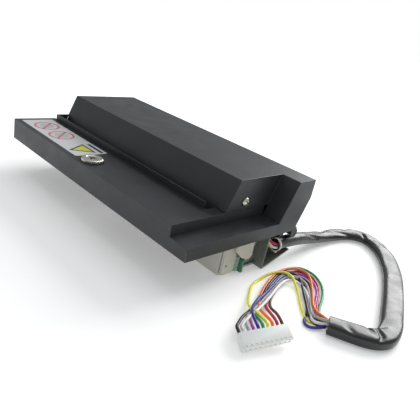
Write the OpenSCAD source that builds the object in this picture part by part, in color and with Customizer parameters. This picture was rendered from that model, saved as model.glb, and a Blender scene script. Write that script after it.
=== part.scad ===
// Bill validator: a note is pushed long edge first into the slot behind the tray, turns through
// the chute, and is driven to the rear between a lower guide and an upper guide. The painted
// cover swings up on two rear pins for service, and a captive thumb screw holds it shut.
// Frame: x runs left to right, y runs front to rear, z is up. Origin: the middle of the
// underside. Millimetres.

/* [Body] */
// Length of the front plate, left to right
body_l = 186; // [176:1:240]
// Depth from the front lip to the rear wall
body_d = 95.4; // [94:0.2:120]
// Height of the covers' lower edge above the surface it stands on
lip_z = 22.1; // [21.5:0.1:27]
// Height of the tray above that edge
tray_h = 13.7; // [13:0.1:18]
// Height of the right shelf above that edge
shelf_h = 7.4; // [6.5:0.1:9]
// Height of the housing above that edge
housing_h = 31.6; // [28:0.1:45]
// Length of the right shelf, past the step
shelf_l = 12.95; // [12.9:0.05:20]
// Distance from the front lip to the foot of the sloping front
slope_foot = 36.9; // [34:0.1:44]
// Run of a slope for each millimetre of its rise
slope = 0.41; // [0.3:0.01:0.45]
// Distance from the front lip to the foot of the rear extension
ext_foot = 70; // [64:0.5:76]
// Gap between the tray's left end and the housing's left end
housing_inset = 3.8; // [3:0.1:6]
// Height of the rear wall's bend above the covers' lower edge
rear_bend_h = 20.6; // [16:0.1:26]
// Sheet thickness of the painted covers
sheet = 1.2; // [0.8:0.1:1.6]

/* [Note slot and guides] */
// Height of the slot's upstand above the tray
ridge_h = 3.9; // [2:0.1:6]
// Distance from the front lip to the upstand
ridge_in = 29.3; // [27:0.1:32]
// Solid foot between the slot's right end and the step
slot_end = 8.05; // [7.9:0.05:14]
// Height of the note channel
path_gap = 5; // [4.8:0.1:6]
// Radius of the chute that turns the note
chute_r = 10.5; // [10:0.1:11.5]
// Wall of the moulded guides
guide_t = 2; // [1.6:0.1:2.2]

/* [Drive] */
// Radius of the rubber drive rollers
drive_r = 7.2; // [7.1:0.1:7.6]
// Radius of the pinch rollers
pinch_r = 6.2; // [6:0.1:6.6]
// Pitch of the rollers along their shafts
roller_pitch = 30; // [24:1:32]
// Width of a roller
roller_w = 8; // [6:0.5:10]
// Radius of the two drive shafts
shaft_r = 2.5; // [2:0.1:2.5]
// Radius of the pinch roller axles
axle_r = 1.5; // [1:0.1:1.6]
// Gear module
gear_m = 0.5; // [0.5:0.1:0.5]
// Teeth of the driven gear
gear_teeth = 36; // [36:1:36]
// Teeth of the motor pinion
pinion_teeth = 12; // [12:1:12]
// Radius of the motor's can
motor_r = 8; // [7:0.1:8]
// Length of the motor's can
motor_l = 22; // [18:1:22]

/* [Thumb screw] */
// Radius of the knurled head
thumb_r = 6.6; // [5:0.1:7]
// Height of the head above the tray
thumb_proud = 2.2; // [1:0.1:4]
// Radius of the screw's shank
thumb_shank_r = 2; // [1.5:0.1:2]
// Gap between the screw's cup and the sheet of the front lip
cup_gap = 0.1; // [0.1:0.1:3.2]
// Place of the screw along the length, from the middle
thumb_x = -5.4; // [-10:0.1:0]
// Travel of the screw before it leaves its nut
thumb_lift = 3.5; // [3:0.1:3.6]

/* [Sticker] */
// Length of the sticker on the tray
label_l = 73.5; // [40:0.5:76]
// Width of the sticker
label_w = 22.2; // [10:0.1:23]

/* [Hinge and base] */
// Radius of the hinge pins
pin_r = 1.5; // [1.2:0.1:1.6]
// Distance of the hinge in front of the rear wall
hinge_in = 7.1; // [7:0.1:8]
// Distance of the hinge below the covers' lower edge
hinge_drop = 1.9; // [1.9:0.1:2.2]
// Thickness of the base plate
base_t = 1.5; // [1:0.1:1.5]
// Thickness of the side frames
frame_t = 1.5; // [1:0.1:1.5]
// Spacing of the mounting holes along the length
mount_l = 140; // [120:1:140]
// Spacing of the mounting holes across the depth
mount_w = 36; // [30:1:36]
// Radius of the mounting holes
mount_r = 1.7; // [1.3:0.1:2]

/* [Connector] */
// Number of ways
ways = 10; // [10:1:10]
// Pitch of the ways
way_pitch = 2.5; // [2.5:0.5:2.5]
// Depth of the connector housing, wires to mouth
connector_d = 7.6; // [7:0.1:12]
// Height of the connector housing
connector_h = 4.8; // [4.4:0.1:6]

/* [Hidden] */
$fn = 64;
eps = 0.01;

run_fit = 0.05;        // radial clearance of a running fit
gap = 0.3;             // clearance between pieces that move past each other
slot_fit = 0.05;       // clearance of an axle in its guide slot

// Outer faces
x_l = -body_l / 2;
x_r = body_l / 2;
y_f = -body_d / 2;
y_b = body_d / 2;
z_tray = lip_z + tray_h;
z_shelf = lip_z + shelf_h;
z_top = lip_z + housing_h;
z_bend = lip_z + rear_bend_h;
x_step = x_r - shelf_l;
x_house = x_l + housing_inset;

// Sloping faces: place across the depth at a height
function front_slope_y(z) = y_f + slope_foot + (z - z_tray) * slope;
function ext_slope_y(z) = y_f + ext_foot + (z - z_shelf) * slope;
function rear_slope_y(z) = z > z_bend ? y_b : y_b - (z_bend - z) * slope;
slope_sheet = sheet * sqrt(1 + slope * slope);   // a sloping sheet, measured along y

// Note path
z_deck = lip_z - 1.1;                   // running surface of the lower guide
path_x0 = x_house + sheet + 2.5;
path_x1 = x_step - slot_end;
path_mid = (path_x0 + path_x1) / 2;
slot_x0 = x_house + sheet;
ridge_y = y_f + ridge_in;
ridge_back = ridge_y + sheet;
ridge_x1 = path_x1 - 1.2;              // the upstand stops short of the slot's end
chute_y = ridge_back + 0.2 + chute_r;   // centre of the chute's arcs
chute_z = z_deck + chute_r;
chute_in_r = chute_r - path_gap;
trough_z = chute_z + 0.4;               // lower edge of the slot's walls
z_roof = z_deck + path_gap;             // running surface of the upper guide

// Hinge
hinge_y = y_b - hinge_in;
hinge_z = lip_z - hinge_drop;
tongue_r = 3.2;
rear_edge_z = lip_z + 4.9;              // lower edge of the rear wall
deck_y1 = hinge_y + 3.2;
guide_y1 = rear_slope_y(rear_edge_z) - slope_sheet - 0.2;

// Rollers and shafts
roller_xs = [for (i = [0:3]) path_mid + (i - 1.5) * roller_pitch];
shaft_z = z_deck + 2.3 - drive_r;
pinch_z = shaft_z + drive_r + gap + pinch_r;
front_y = chute_y + drive_r + 4;
rear_y = hinge_y - 10.6;
sensor_y = (front_y + rear_y) / 2;
window_w = roller_w + 2;
drive_window = 2 * drive_r + 0.2;
pinch_window = 2 * pinch_r + 0.2;

// Frames and the drive, in order along x
left_frame_x = path_x0 - frame_t;
right_frame_x = path_x1;
pulley_x = right_frame_x + frame_t + 0.7;
pulley_w = 5;
pulley_r = 4;
pulley_flange_r = 5.2;
pulley_teeth = 20;
gear_x = pulley_x + pulley_w + 0.5;
gear_w = 2.8;
gear_cover_x = gear_x + gear_w + 0.5;
gear_cover_t = 1;
bush_r = 3.6;
frame_top = z_deck + 0.6;
belt_t = 0.9;

// Gear mesh
mesh_d = gear_m * (gear_teeth + pinion_teeth) / 2;
motor_z = base_t + gap + motor_r;
mesh_angle = 180 + asin((shaft_z - motor_z) / mesh_d);
motor_y = rear_y + mesh_d * cos(mesh_angle);
backlash = 0.1;
motor_x = right_frame_x - motor_l;
motor_shaft_r = 1;

// Base
base_x0 = path_x0;
base_y0 = y_f + slope_foot + 1.5;
base_y1 = hinge_y + 3;
mount_y = (base_y0 + base_y1) / 2 + 3;
wall_t = 2;
front_wall_y = base_y0 - wall_t;
foot_w = 6;
foot_t = 1.2;
frame_screw_ys = [base_y0 + 5, front_y + 4.5];

// Thumb screw stack
cup_r = thumb_r + 0.9;
thumb_y = y_f + sheet + cup_gap + cup_r;
cup_wall = 0.6;
cup_floor = 1.2;
cup_z = z_tray - 4.2;
head_z = cup_z + cup_floor + gap;
washer_t = 0.8;
washer_r = 3.6;
washer_z = cup_z - thumb_lift - 0.3 - washer_t;
nut_top = washer_z - 0.7;
nut_r = 3.4;
nut_clear = 0.6;                        // lets the shank swing out with the cover
shank_z = nut_top - 3.3;
arm_t = 1.2;
arm_z = z_deck - 3.2;
arm_w = 18;
arm_reach = 3.4;                        // of the arm in front of the screw
arm_foot_z = 6;

// Side screws
side_screw_y = y_f + 51.5;
side_screw_z = z_tray + 4.4;
side_screw_r = 1.5;
side_head_r = 2.75;
side_head_t = 1.8;
end_plate_t = 2;
end_plate_top = side_screw_z + 4;

// Pinch roller posts on the upper guide
post_w = 4;
post_d = 8;
post_top = pinch_z + 9.5;
post_xs = [for (s = [-1, 1]) path_mid + s * (1.5 * roller_pitch + roller_w / 2 + post_w / 2 + 1.5)];
spring_top = post_top - 2;
spring_r = 1.4;

// Control board
board_z = post_top + 5;
board_t = 1.6;
board_x0 = path_x0 + 7;
board_x1 = path_x1 - 7;
board_y0 = front_y - 4;
board_y1 = y_b - 8;

// Right end pieces
ear_t = 1.5;
ear_w = 9.6;
ear_z = 1;
ear_corner = 2.4;
ear_x = x_r - 6.2 - ear_t;
wall_x1 = ear_x - 0.9;                   // open seam between the wall and the ear
cap_x = ear_x + 2.6;
cap_t = 1.4;
guide_x1 = ear_x + 2.4;
guide_y0 = front_wall_y + ear_w + 0.2;
sensor_board_x1 = x_r - 3;
sensor_board_y = guide_y0 + 2.7;
sensor_board_t = 1.6;
bracket_t = 0.8;
bracket_x0 = gear_cover_x + gear_cover_t;
bracket_x1 = x_r - 1.6;
bracket_y0 = y_f + 66.5;
bracket_y1 = hinge_y + 2.2;
bracket_rise = 7.2;

// Cable route: place and half width and half thickness of the sleeve at each ring
sleeve_route = [
    [89.0, 30, 12.6, 3.5, 3.5], [89.0, 36, 12.8, 3.6, 3.6], [88.9, 42, 12.6, 3.8, 3.8],
    [88.7, 48, 12, 3.9, 3.9], [88.2, 56, 10.8, 4, 3.9], [87.6, 66, 8.8, 4.2, 3.8],
    [87, 77, 6.6, 4.6, 3.6], [86.8, 88, 4.8, 5, 3.5], [87.4, 98, 3.8, 5.4, 3.4],
    [89.2, 108, 3.5, 5.7, 3.3], [93, 117, 3.5, 5.9, 3.3], [99.5, 122.5, 3.5, 6, 3.3],
    [107.5, 122.5, 3.5, 6, 3.3], [116, 118, 3.5, 6, 3.3], [125, 110, 3.5, 6, 3.3],
    [133.5, 99, 3.5, 6, 3.3], [141.5, 86, 3.5, 6, 3.3], [149, 71, 3.5, 6, 3.3],
    [156, 56, 3.5, 6, 3.3], [161.5, 43.5, 3.5, 6, 3.3], [165.6, 34, 3.5, 5.9, 3.3],
    [167.9, 26, 3.5, 5.7, 3.3], [168, 20.5, 3.5, 5.7, 3.4], [165.6, 15.9, 3.5, 5.8, 3.5],
    [161.8, 12.4, 3.6, 5.8, 3.6], [157.2, 9.6, 3.6, 5.6, 3.6], [152.2, 6.6, 3.7, 5.2, 3.6],
    [146.8, 3.6, 3.7, 4.8, 3.6]
];
// Loom route: place and radius of the bundle at each ring
loom_route = [
    [146.8, 3.6, 3.7, 3.4], [141.5, 3.8, 3.6, 3.4], [136.5, 7, 3.5, 3.3], [131.5, 12.5, 3.5, 3.3],
    [127, 18.5, 3.5, 3.3], [122, 25, 3.5, 3.3], [116.5, 30.5, 3.5, 3.3], [110, 33.5, 3.5, 3.3],
    [104.5, 31, 3.5, 3.3], [102.5, 24.5, 3.5, 3.3], [104, 16, 3.5, 3.3], [106.5, 7, 3.5, 3.3],
    [110, -2.5, 3.5, 3.3], [114, -11, 3.6, 3.3], [118.5, -19, 4.4, 3.2], [123.5, -25.8, 6.2, 3.1],
    [128.6, -30.6, 7.6, 2.8], [131.8, -32.2, 7.1, 2.4], [134.1, -33.2, 6.3, 2.2]
];
connector_at = [135.2, -46.5];          // lower front corner of the mouth, at the left
connector_turn = 70;
connector_lift = 4;                     // the wires hold the right end up
connector_tilt = 25;                    // and the back edge
connector_wall = 0.1;
contact_r = 0.7;
wire_sides = 8;
sleeve_sides = 12;
tie_w = 1.8;
tie_t = 0.5;

// ---- Helpers ----------------------------------------------------------------

// An outline in y and z, extruded along x from x0
module yz(x0, length) {
    translate([x0, 0, 0]) rotate([90, 0, 90]) linear_extrude(length) children();
}

// A cylinder along x
module rod(x0, x1, y, z, r) {
    translate([x0, y, z]) rotate([0, 90, 0]) cylinder(h = x1 - x0, r = r);
}

// A block from its two corners
module block(a, b) {
    translate(a) cube(b - a);
}

// Gear outline: straight-flanked teeth, the first centred on the phase angle
function tooth_points(teeth, r_root, r_tip, root_share, tip_share, phase) = [
    for (i = [0:teeth - 1]) for (side = [-1, 1]) for (end = side < 0 ? [0, 1] : [1, 0])
        let (a = phase + 360 / teeth * (i + side * (end == 0 ? root_share : tip_share) / 2),
             r = end == 0 ? r_root : r_tip)
        [r * cos(a), r * sin(a)]
];

module gear_outline(teeth, phase) {
    pitch_r = gear_m * teeth / 2;
    slack = backlash / (PI * gear_m);
    polygon(tooth_points(teeth, pitch_r - 1.2 * gear_m, pitch_r + 0.8 * gear_m,
                         0.72 - slack, 0.3 - slack / 2, phase));
}

// A closed tube through rings at the route's own points
function unit(v) = v / norm(v);
function place(p) = [p[0], p[1], p[2]];
function heading(route, i) = unit(place(route[min(i + 1, len(route) - 1)])
                                  - place(route[max(i - 1, 0)]));
function across(route, i) = unit(cross([0, 0, 1], heading(route, i)));
function ring(route, i, sides) = [
    for (k = [0:sides - 1])
        let (a = 360 * (k + 0.5) / sides, side = across(route, i), up = cross(heading(route, i), side))
        place(route[i]) + side * route[i][3] * cos(a) + up * route[i][len(route[i]) - 1] * sin(a)
];

module tube(route, sides) {
    last = len(route) - 1;
    points = [for (i = [0:last]) each ring(route, i, sides)];
    sleeve = [
        for (i = [0:last - 1]) for (k = [0:sides - 1])
            [i * sides + k, (i + 1) * sides + k,
             (i + 1) * sides + (k + 1) % sides, i * sides + (k + 1) % sides]
    ];
    start_cap = [for (k = [0:sides - 1]) k];
    end_cap = [for (k = [sides - 1:-1:0]) last * sides + k];
    polyhedron(points = points, faces = concat(sleeve, [start_cap, end_cap]), convexity = 8);
}

// A stadium round the two shafts
module belt_line(r) {
    translate([front_y, shaft_z]) circle(r);
    translate([rear_y, shaft_z]) circle(r);
    translate([front_y, shaft_z - r]) square([rear_y - front_y, 2 * r]);
}

module cross_recess(r, depth) {
    for (a = [0, 90]) rotate([0, 0, a]) translate([-r, -0.35, -depth]) cube([2 * r, 0.7, depth + eps]);
}

// ---- Lower unit -------------------------------------------------------------

module base_plate() {
    color("silver") difference() {
        block([base_x0, base_y0, 0], [ear_x, base_y1, base_t]);
        block([bracket_x0, bracket_y0, -1], [ear_x + 1, base_y1 + 1, base_t + 1]);
        for (sx = [-1, 1]) for (sy = [-1, 1])
            translate([path_mid + sx * mount_l / 2, mount_y + sy * mount_w / 2, -1])
                cylinder(h = base_t + 2, r = mount_r);
        for (x = frame_screw_xs()) for (y = frame_screw_ys)
            translate([x, y, -1]) cylinder(h = base_t + 2, r = 1.25);
    }
}

function frame_screw_xs() = [left_frame_x + frame_t + foot_w / 2, right_frame_x - foot_w / 2];

module front_wall() {
    color("ivory") {
        block([x_l + 6.2, front_wall_y, 0], [wall_x1, front_wall_y + wall_t, z_deck - guide_t]);
        block([path_x0, front_wall_y + wall_t, z_deck - guide_t - 1.5],
              [path_x1, chute_y + 3, z_deck - guide_t]);
    }
}

// Rounded ear that guides the sensor leads, with its small hole
module wire_ear() {
    color("ivory") yz(ear_x, ear_t) difference() {
        union() {
            translate([front_wall_y, ear_corner]) square([ear_w, z_deck - guide_t - ear_corner]);
            translate([front_wall_y + ear_corner, ear_z]) square([ear_w - 2 * ear_corner, ear_corner]);
            for (y = [ear_corner, ear_w - ear_corner])
                translate([front_wall_y + y, ear_z + ear_corner]) circle(ear_corner);
            translate([front_wall_y, ear_z + ear_corner]) square([ear_w, ear_corner]);
        }
        translate([front_wall_y + 3, 6.6]) circle(0.8);
    }
    color("ivory") block([wall_x1, front_wall_y + wall_t / 2, 5],
                         [ear_x, front_wall_y + wall_t, z_deck - guide_t]);
}

// White end cap over the end sensor
module end_cap() {
    y0 = front_wall_y + 6.3;
    y1 = y0 + 14.4;
    color("ivory") {
        yz(cap_x, cap_t) difference() {
            union() {
                polygon([[y0, z_deck], [y0, z_deck - 5], [y0 + 5.7, z_deck - 10.5],
                         [y1 - 3, z_deck - 12.3], [y1, z_deck - 9.3], [y1, z_deck]]);
                translate([y1 - 3, z_deck - 9.3]) circle(3);
            }
            for (i = [0:5]) translate([y1 - 0.5, z_deck - 1.6 - i * 1.4]) square([1, 0.6]);
        }
        block([gear_cover_x + gear_cover_t, y1 - 5.5, z_deck - 5.5], [cap_x, y1 - 1, z_deck - 4]);
    }
}

module light_guide() {
    color([0.72, 0.86, 0.74, 0.7]) {
        block([guide_x1 - 7.5, guide_y0, base_t], [guide_x1 - 1, guide_y0 + 2.4, 12]);
        block([guide_x1 - 1, guide_y0 + 0.6, base_t], [guide_x1, guide_y0 + 2.4, 10.6]);
    }
}

module sensor_board() {
    color("seagreen") difference() {
        block([guide_x1 - 7.5, sensor_board_y, base_t],
              [sensor_board_x1, sensor_board_y + sensor_board_t, z_deck - 11.5]);
        translate([guide_x1 - 5, sensor_board_y - 1, 6]) rotate([-90, 0, 0]) cylinder(h = 4, r = 0.8);
    }
}

// Galvanised trough that carries the cable out, open at its right end
module cable_bracket() {
    color("lightgray") {
        block([bracket_x0, bracket_y0, 0], [bracket_x1, bracket_y0 + bracket_t, lip_z - 0.6]);
        yz(bracket_x0 + bracket_t, bracket_x1 - bracket_x0 - bracket_t)
            polygon([[bracket_y0 + bracket_t, 0], [bracket_y0 + bracket_t, bracket_t + 0.3],
                     [bracket_y1, bracket_rise + bracket_t], [bracket_y1, bracket_rise]]);
        yz(bracket_x0, bracket_t)
            polygon([[bracket_y0 + bracket_t, 0], [bracket_y1, bracket_rise], [bracket_y1, 13],
                     [hinge_y - 4, hinge_z - 4], [bracket_y0 + bracket_t, lip_z - 0.6]]);
    }
}

// Side plate in y and z, with its shaft holes
module frame_outline(y0, y1) {
    difference() {
        translate([y0, base_t]) square([y1 - y0, frame_top - base_t]);
        for (y = [front_y, rear_y]) translate([y, shaft_z]) circle(bush_r);
    }
}

module frame_foot(x0) {
    difference() {
        block([x0, base_y0 + 1, base_t], [x0 + foot_w, front_y + 8, base_t + foot_t]);
        for (y = frame_screw_ys) translate([x0 + foot_w / 2, y, 0]) cylinder(h = 9, r = 1.25);
    }
}

module left_frame() {
    color("darkgray") {
        yz(left_frame_x, frame_t) difference() {
            union() {
                frame_outline(base_y0, hinge_y);
                translate([hinge_y, hinge_z]) circle(3.4);
                translate([hinge_y - 4, base_t]) square([7.4, hinge_z - base_t]);
            }
            translate([hinge_y, hinge_z]) circle(pin_r);
        }
        frame_foot(left_frame_x + frame_t);
    }
}

module right_frame() {
    color("darkgray") {
        yz(right_frame_x, frame_t) difference() {
            frame_outline(base_y0, hinge_y);
            translate([motor_y, motor_z]) circle(3);
        }
        frame_foot(right_frame_x - foot_w);
    }
}

// Plate outside the gears, which also carries the right hinge pin
module gear_cover() {
    color("dimgray") yz(gear_cover_x, gear_cover_t) difference() {
        union() {
            translate([front_y + 0.5, base_t]) square([hinge_y - front_y, hinge_z - base_t]);
            translate([hinge_y, hinge_z]) circle(3.4);
            translate([hinge_y - 4, base_t]) square([7.4, hinge_z - base_t]);
        }
        translate([hinge_y, hinge_z]) circle(pin_r);
    }
}

module frame_spacers() {
    color("silver") for (y = [front_y + 4, hinge_y - 3])
        rod(right_frame_x + frame_t, gear_cover_x, y, base_t + 3.5, 2);
}

module frame_screws() {
    color("gainsboro") for (x = frame_screw_xs()) for (y = frame_screw_ys) translate([x, y, 0])
        difference() {
            union() {
                translate([0, 0, 0.2]) cylinder(h = base_t + foot_t - 0.2, r = 1.25);
                translate([0, 0, base_t + foot_t]) cylinder(h = 1.4, r = 2.3);
            }
            translate([0, 0, base_t + foot_t + 1.4]) cross_recess(1.3, 0.8);
        }
}

module roller_windows(y, z, size) {
    for (x = roller_xs) block([x - window_w / 2, y - size / 2, z],
                              [x + window_w / 2, y + size / 2, z + 8]);
}

// Quarter ring of the chute, open to the front and the top
module quarter_ring(r_in, r_out) {
    intersection() {
        difference() {
            circle(r_out);
            circle(r_in);
        }
        translate([-r_out, -r_out]) square(r_out);
    }
}

light_bar_x1 = motor_x - 4;
glass_w = 5;

module lower_guide() {
    color("whitesmoke") difference() {
        yz(path_x0, path_x1 - path_x0) {
            translate([chute_y, chute_z]) quarter_ring(chute_r, chute_r + guide_t);
            translate([chute_y, z_deck - guide_t]) square([deck_y1 - chute_y, guide_t]);
        }
        roller_windows(front_y, z_deck - 5, drive_window);
        roller_windows(rear_y, z_deck - 5, drive_window);
        block([path_x0 + 7, sensor_y - glass_w / 2, 0], [light_bar_x1 - 2, sensor_y + glass_w / 2, 40]);
    }
}

module light_bar() {
    color("darkslategray") block([path_x0 + 5, sensor_y - 4, z_deck - guide_t - 3.5],
                                 [light_bar_x1, sensor_y + 4, z_deck - guide_t]);
}

module light_bar_glass() {
    color([0.3, 0.4, 0.4, 0.6]) block([path_x0 + 7, sensor_y - glass_w / 2, z_deck - guide_t],
                                      [light_bar_x1 - 2, sensor_y + glass_w / 2, z_deck]);
}

module shaft_bushes() {
    color("goldenrod") for (y = [front_y, rear_y]) difference() {
        union() {
            rod(left_frame_x - 0.6, path_x0, y, shaft_z, bush_r);
            rod(right_frame_x, pulley_x - 0.2, y, shaft_z, bush_r);
        }
        rod(left_frame_x - 1, pulley_x + 1, y, shaft_z, shaft_r + run_fit);
    }
}

module drive_belt() {
    color([0.12, 0.12, 0.12]) yz(pulley_x + 0.8, pulley_w - 1.6) difference() {
        belt_line(pulley_r + 0.15 + belt_t);
        belt_line(pulley_r + 0.15);
    }
}

module motor() {
    color("silver") difference() {
        union() {
            rod(motor_x, right_frame_x, motor_y, motor_z, motor_r);
            rod(right_frame_x, right_frame_x + frame_t, motor_y, motor_z, 3);
            rod(motor_x - 1.2, motor_x, motor_y, motor_z, 3);
        }
        rod(motor_x + 6, pulley_x, motor_y, motor_z, motor_shaft_r + run_fit);
    }
}

module hinge_pins() {
    color("gray") {
        rod(x_house, left_frame_x + frame_t, hinge_y, hinge_z, pin_r);
        rod(gear_cover_x, x_r - 0.2, hinge_y, hinge_z, pin_r);
    }
}

module latch_arm() {
    color("lightgray") difference() {
        union() {
            block([thumb_x - arm_w / 2, thumb_y - arm_reach, arm_z],
                  [thumb_x + arm_w / 2, front_wall_y, arm_z + arm_t]);
            block([thumb_x - arm_w / 2, front_wall_y - arm_t, arm_foot_z],
                  [thumb_x + arm_w / 2, front_wall_y, arm_z]);
        }
        translate([thumb_x, thumb_y, arm_z - 1]) cylinder(h = 4, r = thumb_shank_r + nut_clear);
    }
}

module latch_nut() {
    color("gold") translate([thumb_x, thumb_y, arm_z + arm_t]) difference() {
        cylinder(h = nut_top - arm_z - arm_t, r = nut_r);
        translate([0, 0, -1]) cylinder(h = 20, r = thumb_shank_r + nut_clear);
    }
}

// ---- Cover ------------------------------------------------------------------

// Folded tray, lips, slot upstand, step wall and right shelf
module front_plate() {
    x_in = x_step - sheet;
    color([0.2, 0.22, 0.22]) difference() {
        union() {
            block([x_l, y_f, z_tray - sheet], [x_step, ridge_back, z_tray]);
            block([path_x1, ridge_back, z_tray - sheet], [x_step, front_slope_y(z_tray), z_tray]);
            block([x_l, y_f, lip_z], [x_step, y_f + sheet, z_tray]);
            block([x_step, y_f, lip_z], [x_r, y_f + sheet, z_shelf]);
            block([x_l, y_f, lip_z], [x_l + sheet, ridge_back, z_tray]);
            block([x_house, ridge_y, trough_z], [path_x1 + sheet, ridge_back, z_tray]);
            block([x_house, ridge_y, z_tray], [ridge_x1, ridge_back, z_tray + ridge_h]);
            yz(x_house, sheet) polygon([[ridge_back, trough_z], [ridge_back, z_tray + ridge_h],
                [front_slope_y(z_tray + ridge_h), z_tray + ridge_h], [front_slope_y(trough_z), trough_z]]);
            yz(path_x1, sheet) polygon([[ridge_back, trough_z], [ridge_back, z_tray],
                [front_slope_y(z_tray), z_tray], [front_slope_y(trough_z), trough_z]]);
            block([x_in, y_f, z_shelf - sheet], [x_step, ext_slope_y(z_shelf), z_tray]);
            block([x_in, y_f, z_shelf - sheet], [x_r, ext_slope_y(z_shelf), z_shelf]);
            block([x_r - sheet, y_f, lip_z], [x_r, ext_slope_y(z_shelf), z_shelf]);
        }
        translate([thumb_x, thumb_y, z_tray - 3]) cylinder(h = 6, r = cup_r);
    }
}

// Section of the cover's sheet: sloping front, roof, rear wall and its lower slope
module cover_section(foot_y, foot_z) {
    roof_z = z_top - sheet;
    below_z = hinge_z;
    difference() {
        polygon([[foot_y, foot_z], [foot_y + (z_top - foot_z) * slope, z_top], [y_b, z_top],
                 [y_b, z_bend], [rear_slope_y(rear_edge_z), rear_edge_z], [foot_y, rear_edge_z]]);
        polygon([[foot_y + slope_sheet - (foot_z - below_z) * slope, below_z],
                 [foot_y + slope_sheet + (roof_z - foot_z) * slope, roof_z],
                 [y_b - sheet, roof_z], [y_b - sheet, z_bend],
                 [rear_slope_y(below_z) - slope_sheet, below_z]]);
        translate([foot_y - eps, below_z]) square([slope_sheet + eps, foot_z - below_z]);
    }
}

// Solid outline of an end wall, down to the covers' lower edge
module end_wall(foot_y, foot_z) {
    polygon([[foot_y, foot_z], [foot_y + (z_top - foot_z) * slope, z_top], [y_b, z_top],
             [y_b, z_bend], [rear_slope_y(lip_z), lip_z], [foot_y, lip_z]]);
}

module tongue() {
    difference() {
        union() {
            translate([hinge_y, hinge_z]) circle(tongue_r);
            translate([hinge_y - tongue_r, hinge_z]) square([2 * tongue_r - 1.8, hinge_drop + 2]);
        }
        translate([hinge_y, hinge_z]) circle(pin_r + run_fit);
    }
}

// Folded housing: main prism, notch wall and rear extension
module top_cover() {
    front_foot = front_slope_y(trough_z);
    ext_foot_y = ext_slope_y(z_shelf);
    color([0.2, 0.22, 0.22]) difference() {
        union() {
            yz(x_house + sheet, path_x1 - x_house - sheet) cover_section(front_foot, trough_z);
            yz(path_x1, x_step - path_x1) cover_section(front_slope_y(z_tray), z_tray);
            yz(x_step, shelf_l - sheet) cover_section(ext_foot_y, z_shelf);
            yz(x_house, sheet) {
                end_wall(front_slope_y(z_tray + ridge_h), z_tray + ridge_h);
                tongue();
            }
            yz(x_r - sheet, sheet) {
                end_wall(ext_foot_y, z_shelf);
                tongue();
            }
            yz(x_step - sheet, sheet) polygon([
                [front_slope_y(z_tray), z_tray], [front_slope_y(z_top), z_top],
                [ext_slope_y(z_top) + 3, z_top], [ext_slope_y(z_tray) + 3, z_tray]]);
        }
        for (s = [-1, 1]) rod(s < 0 ? x_house - 1 : x_step - sheet - 1,
                              s < 0 ? x_house + sheet + 1 : x_step + 1,
                              side_screw_y, side_screw_z, side_screw_r);
    }
}

module label() {
    x0 = x_l + 4.2;
    y0 = y_f + 3.4;
    color("white") block([x0, y0, z_tray], [x0 + label_l, y0 + label_w, z_tray + 0.15]);
}

module side_screw() {
    difference() {
        union() {
            cylinder(h = side_head_t, r = side_head_r);
            translate([0, 0, -5]) cylinder(h = 5, r = side_screw_r);
        }
        translate([0, 0, side_head_t]) cross_recess(1.6, 1);
    }
}

module side_screws() {
    color("gainsboro") {
        translate([x_step, side_screw_y, side_screw_z]) rotate([0, 90, 0]) side_screw();
        translate([x_house, side_screw_y, side_screw_z]) rotate([0, -90, 0]) side_screw();
    }
}

// Upper guide with its curved nose, roller windows, axle posts and end plates
module upper_guide() {
    right = x_step - sheet;
    color([0.16, 0.16, 0.17]) difference() {
        union() {
            yz(path_x0, path_x1 - path_x0) {
                translate([chute_y, chute_z]) quarter_ring(chute_in_r - guide_t, chute_in_r);
                translate([chute_y - chute_in_r, chute_z]) square([guide_t, trough_z - chute_z]);
            }
            block([slot_x0, chute_y, z_roof], [right, guide_y1, z_roof + guide_t]);
            block([slot_x0, side_screw_y - 5, z_roof],
                  [slot_x0 + end_plate_t, guide_y1, end_plate_top]);
            block([right - end_plate_t, side_screw_y - 5, z_roof],
                  [right, ext_slope_y(z_shelf) - 0.5, end_plate_top]);
            for (x = post_xs) for (y = [front_y, rear_y])
                block([x - post_w / 2, y - post_d / 2, z_roof + guide_t],
                      [x + post_w / 2, y + post_d / 2, post_top]);
        }
        roller_windows(front_y, z_roof - 1, pinch_window);
        roller_windows(rear_y, z_roof - 1, pinch_window);
        block([path_x0 + 4, sensor_y - 3.5, z_roof - 1],
              [path_x1 - 4, sensor_y + 3.5, z_roof + 9]);
        for (x = post_xs) for (y = [front_y, rear_y])
            block([x - post_w, y - axle_r - slot_fit, pinch_z - axle_r],
                  [x + post_w, y + axle_r + slot_fit, spring_top]);
        for (x = [slot_x0 - 5, right - 5])
            rod(x, x + 10, side_screw_y, side_screw_z, side_screw_r);
    }
}

module image_sensor() {
    color([0.1, 0.1, 0.11]) block([path_x0 + 2, sensor_y - 5, z_roof + guide_t],
                                  [path_x1 - 2, sensor_y + 5, z_roof + guide_t + 8]);
}

module sensor_glass() {
    color([0.3, 0.4, 0.4, 0.6]) block([path_x0 + 4, sensor_y - 3.5, z_roof + 0.1],
                                      [path_x1 - 4, sensor_y + 3.5, z_roof + guide_t]);
}

standoff_places = [
    for (x = [board_x0 + 5, board_x1 - 5]) for (y = [board_y0 + 5, board_y1 - 5]) [x, y]
];

module control_board() {
    color("seagreen") difference() {
        block([board_x0, board_y0, board_z], [board_x1, board_y1, board_z + board_t]);
        for (p = standoff_places) translate([p[0], p[1], board_z - 1]) cylinder(h = 4, r = 1.25);
    }
}

module board_standoffs() {
    color("gold") for (p = standoff_places) translate([p[0], p[1], 0]) {
        translate([0, 0, board_z + board_t]) cylinder(h = z_top - sheet - board_z - board_t, r = 2.5);
        translate([0, 0, board_z]) cylinder(h = board_t, r = 1.25);
        translate([0, 0, board_z - 1.2]) cylinder(h = 1.2, r = 2.2);
    }
}

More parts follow.
